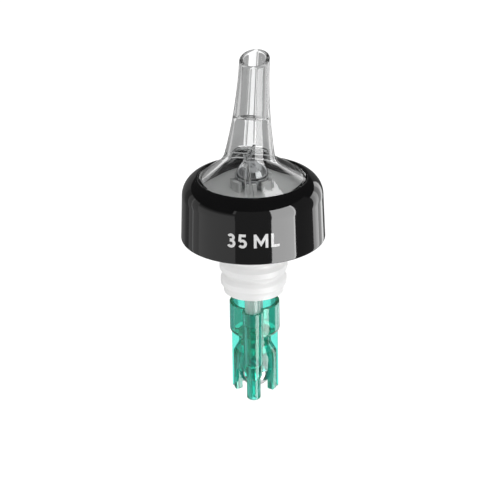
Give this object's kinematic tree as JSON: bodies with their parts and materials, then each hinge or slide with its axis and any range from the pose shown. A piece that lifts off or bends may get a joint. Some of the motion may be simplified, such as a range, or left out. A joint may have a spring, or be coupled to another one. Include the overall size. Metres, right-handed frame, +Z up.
{
  "type": "measured bottle pourer",
  "caption": "Bottle pourer with a clear leaning spout, black collar, white ribbed stopper and a green tail whose steel ball shuts off a measured shot while a breather lets air in.",
  "frame": {"origin": "centre of the stopper flange's underside, the face that sits on the bottle's lip", "axes": "+Z up along the stopper's axis towards the spout, -Y to the front where the breather is, +X to the right seen from the front"},
  "size_m": [0.042, 0.042, 0.1041],
  "materials": {
    "stopper_white": "satin",
    "natural_plastic": "satin",
    "tube_natural": "satin",
    "gasket": "matte",
    "clear_plastic": "polished",
    "collar_black": "gloss",
    "green_plastic": "polished",
    "steel": "polished"
  },
  "bodies": {
    "pourer": {"stopper": "stopper_white", "core": "natural_plastic", "breather_tube": "tube_natural", "dome_gasket": "gasket", "spout": "clear_plastic", "collar": "collar_black", "tail_cage": "green_plastic"},
    "metering": {"metering_ball": "steel"},
    "breather": {"breather_ball": "steel"},
    "outlet": {"outlet_ball": "steel"}
  },
  "joints": [
    {"name": "metering_slide", "type": "slide", "parent": "pourer", "child": "metering", "axis": [0, 0, 1], "range_m": [0, 0.00585]},
    {"name": "breather_slide", "type": "slide", "parent": "pourer", "child": "breather", "axis": [0, 0, 1], "range_m": [0, 0.01102]},
    {"name": "outlet_slide", "type": "slide", "parent": "pourer", "child": "outlet", "axis": [0, 0, 1], "range_m": [0, 0.0018]}
  ]
}
